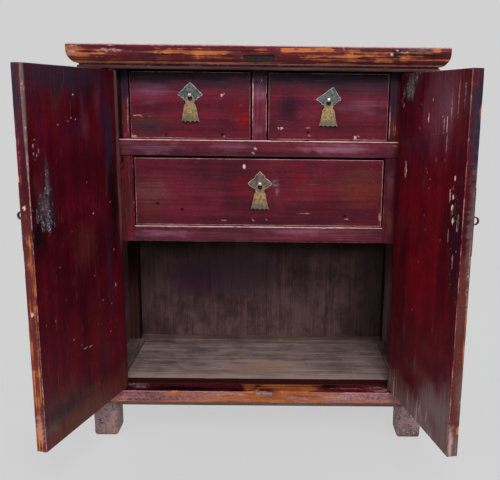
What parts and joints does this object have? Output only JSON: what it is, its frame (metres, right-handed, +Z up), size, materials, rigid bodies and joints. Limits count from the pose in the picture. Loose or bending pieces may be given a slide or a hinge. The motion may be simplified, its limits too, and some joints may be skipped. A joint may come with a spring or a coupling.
{
  "type": "kang cabinet",
  "caption": "Low lacquered storage cabinet with pivoting board doors over a shelf space and drawers with hanging brass pulls",
  "frame": {"origin": "on the floor, in the middle of the four feet", "axes": "+X to the right when facing the doors, +Y from the doors to the back, +Z up"},
  "size_m": [0.7453, 0.5809, 0.802],
  "materials": {
    "lacquer": "worn oxblood lacquer, satin",
    "bare_wood": "dry unfinished softwood, darkened with age",
    "aged_brass": "dull, dark patina",
    "brass": "handled, dull gold",
    "iron": "dark, matt"
  },
  "bodies": {
    "cabinet": {"post_front_left": "lacquer", "post_front_right": "lacquer", "post_back_left": "lacquer", "post_back_right": "lacquer", "top_frame_front": "lacquer", "top_frame_back": "bare_wood", "top_frame_left": "lacquer", "top_frame_right": "lacquer", "top_panel": "lacquer", "top_edge_plate": "iron", "sill": "lacquer", "sill_plate": "iron", "side_rail_left": "lacquer", "side_rail_right": "lacquer", "back_rail_bottom": "lacquer", "side_panel_left": "lacquer", "side_panel_right": "lacquer", "back_panel": "bare_wood", "floor_board": "bare_wood", "drawer_rail_upper": "lacquer", "drawer_rail_lower": "lacquer", "drawer_divider": "lacquer", "face_stile_left": "lacquer", "face_stile_right": "lacquer", "runner_upper_left": "bare_wood", "runner_upper_right": "bare_wood", "runner_upper_centre": "bare_wood", "runner_lower_left": "bare_wood", "runner_lower_right": "bare_wood", "back_rail_drawer": "bare_wood"},
    "left_door": {"left_door": "lacquer", "left_door_plate": "aged_brass", "left_door_pin": "aged_brass"},
    "right_door": {"right_door": "lacquer", "right_door_plate": "aged_brass", "right_door_pin": "aged_brass"},
    "left_drawer": {"left_drawer_front": "lacquer", "left_drawer_left_side": "bare_wood", "left_drawer_right_side": "bare_wood", "left_drawer_back": "bare_wood", "left_drawer_bottom": "bare_wood", "left_drawer_plate": "aged_brass", "left_drawer_pin": "aged_brass"},
    "right_drawer": {"right_drawer_front": "lacquer", "right_drawer_left_side": "bare_wood", "right_drawer_right_side": "bare_wood", "right_drawer_back": "bare_wood", "right_drawer_bottom": "bare_wood", "right_drawer_plate": "aged_brass", "right_drawer_pin": "aged_brass"},
    "wide_drawer": {"wide_drawer_front": "lacquer", "wide_drawer_left_side": "bare_wood", "wide_drawer_right_side": "bare_wood", "wide_drawer_back": "bare_wood", "wide_drawer_bottom": "bare_wood", "wide_drawer_plate": "aged_brass", "wide_drawer_pin": "aged_brass"},
    "left_drawer_pendant": {"left_drawer_pendant": "brass"},
    "right_drawer_pendant": {"right_drawer_pendant": "brass"},
    "wide_drawer_pendant": {"wide_drawer_pendant": "brass"}
  },
  "joints": [
    {"name": "left_door_hinge", "type": "hinge", "parent": "cabinet", "child": "left_door", "pos_m": [-0.2825, -0.139, 0.43175], "axis": [0, 0, -1], "range_deg": [-106, 4]},
    {"name": "right_door_hinge", "type": "hinge", "parent": "cabinet", "child": "right_door", "pos_m": [0.2825, -0.139, 0.43175], "axis": [0, 0, 1], "range_deg": [-102, 8]},
    {"name": "left_drawer_slide", "type": "slide", "parent": "cabinet", "child": "left_drawer", "axis": [0, -1, 0], "range_m": [0, 0.15]},
    {"name": "right_drawer_slide", "type": "slide", "parent": "cabinet", "child": "right_drawer", "axis": [0, -1, 0], "range_m": [0, 0.15]},
    {"name": "wide_drawer_slide", "type": "slide", "parent": "cabinet", "child": "wide_drawer", "axis": [0, -1, 0], "range_m": [0, 0.15]},
    {"name": "left_drawer_pendant_hinge", "type": "hinge", "parent": "left_drawer", "child": "left_drawer_pendant", "pos_m": [-0.1355, -0.1215, 0.7102], "axis": [-1, 0, 0], "range_deg": [-5, 80]},
    {"name": "right_drawer_pendant_hinge", "type": "hinge", "parent": "right_drawer", "child": "right_drawer_pendant", "pos_m": [0.1355, -0.1215, 0.7039], "axis": [-1, 0, 0], "range_deg": [-5, 80]},
    {"name": "wide_drawer_pendant_hinge", "type": "hinge", "parent": "wide_drawer", "child": "wide_drawer_pendant", "pos_m": [0.0018, -0.1215, 0.5375], "axis": [-1, 0, 0], "range_deg": [-5, 80]}
  ]
}
